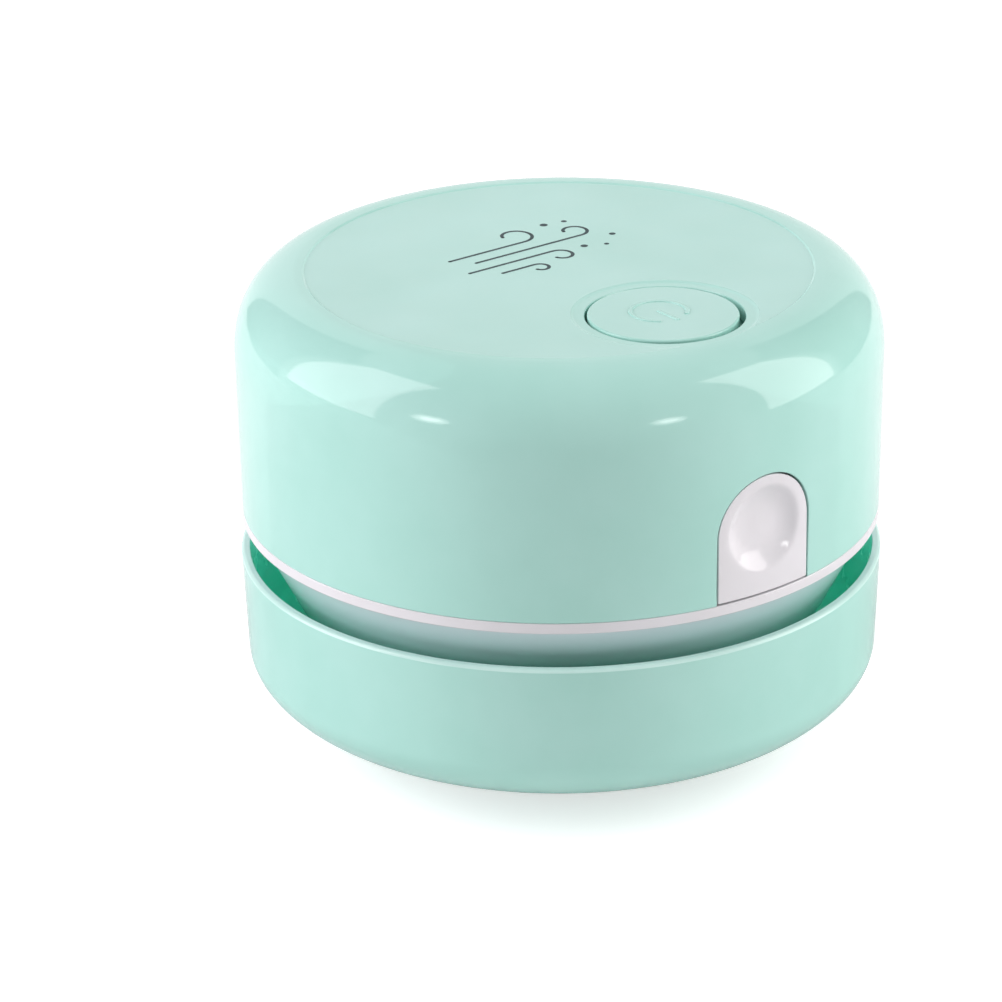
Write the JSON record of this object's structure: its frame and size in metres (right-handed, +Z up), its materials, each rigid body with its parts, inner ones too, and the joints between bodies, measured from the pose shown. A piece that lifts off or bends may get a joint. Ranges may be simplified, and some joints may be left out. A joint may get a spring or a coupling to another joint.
{
  "type": "desktop mini vacuum cleaner",
  "caption": "Round desktop mini vacuum cleaner with a lift-off head on a skirted dust cup, a power button, a release tab and a ring of bristles.",
  "frame": {"origin": "on the cleaner's axis, level with the tips of the bristles it stands on", "axes": "+Z up; -Y is the front, the side of the power button and the release tab; +Y is the back with the charging socket"},
  "size_m": [0.085, 0.085, 0.065],
  "materials": {
    "mint_plastic": "glossy",
    "white_plastic": "glossy",
    "grey_plastic": "satin",
    "grey_silicone": "matte",
    "nylon_bristle": "satin",
    "dark_sponge": "open cell foam",
    "screw_steel": "satin",
    "motor_steel": "satin",
    "magnet": "matte",
    "black_plastic": "matte",
    "cell_wrap": "satin shrink film",
    "board_green": "solder mask",
    "clear_lens": "glossy",
    "red_lead": "satin",
    "black_lead": "satin"
  },
  "bodies": {
    "base": {"skirt_shell": "mint_plastic", "outlet_bowl": "white_plastic", "dust_cup": "white_plastic", "inlet_tube": "grey_plastic", "brush_plate": "white_plastic", "brush_strip_1": "nylon_bristle", "brush_strip_2": "nylon_bristle", "brush_strip_3": "nylon_bristle", "brush_strip_4": "nylon_bristle", "base_screw_1": "screw_steel", "base_screw_2": "screw_steel", "base_screw_3": "screw_steel"},
    "head": {"top_cover": "mint_plastic", "fan_base": "white_plastic", "cup_seal": "grey_silicone", "head_screw_1": "screw_steel", "head_screw_2": "screw_steel", "head_screw_3": "screw_steel", "head_screw_4": "screw_steel", "motor_plate": "grey_plastic", "motor_can": "motor_steel", "motor_cap": "black_plastic", "motor_magnet_1": "magnet", "motor_magnet_2": "magnet", "motor_screw_1": "screw_steel", "motor_screw_2": "screw_steel", "battery_cell": "cell_wrap", "circuit_board": "board_green", "board_screw_1": "screw_steel", "board_screw_2": "screw_steel", "board_screw_3": "screw_steel", "board_screw_4": "screw_steel", "switch_body": "black_plastic", "charging_socket": "motor_steel", "charge_lamp": "clear_lens", "cell_lead_red": "red_lead", "cell_lead_black": "black_lead", "motor_lead_red": "red_lead", "motor_lead_black": "black_lead", "tab_spring": "motor_steel"},
    "fan": {"motor_shaft": "motor_steel", "motor_rotor": "motor_steel", "impeller": "white_plastic"},
    "filter": {"filter_frame": "grey_plastic", "filter_net": "nylon_bristle", "filter_sponge": "dark_sponge"},
    "power_button": {"power_button": "mint_plastic", "switch_plunger": "black_plastic"},
    "release_tab": {"release_tab": "white_plastic"}
  },
  "joints": [
    {"name": "head_lift", "type": "slide", "parent": "base", "child": "head", "axis": [0, 0, 1], "range_m": [0, 0.04]},
    {"name": "button_press", "type": "slide", "parent": "head", "child": "power_button", "axis": [0, 0, -1], "range_m": [0, 0.0012], "stiffness_N_per_m": 700, "springref_m": -0.001},
    {"name": "tab_press", "type": "slide", "parent": "head", "child": "release_tab", "axis": [0, 1, 0], "range_m": [0, 0.0018], "stiffness_N_per_m": 700, "springref_m": -0.001, "deforming": ["tab_spring"]},
    {"name": "fan_spin", "type": "hinge", "parent": "head", "child": "fan", "pos_m": [0, 0, 0.0385], "axis": [0, 0, 1], "continuous": true},
    {"name": "filter_twist", "type": "hinge", "parent": "head", "child": "filter", "pos_m": [0, 0, 0.0285], "axis": [0, 0, 1], "range_deg": [0, 40]}
  ]
}
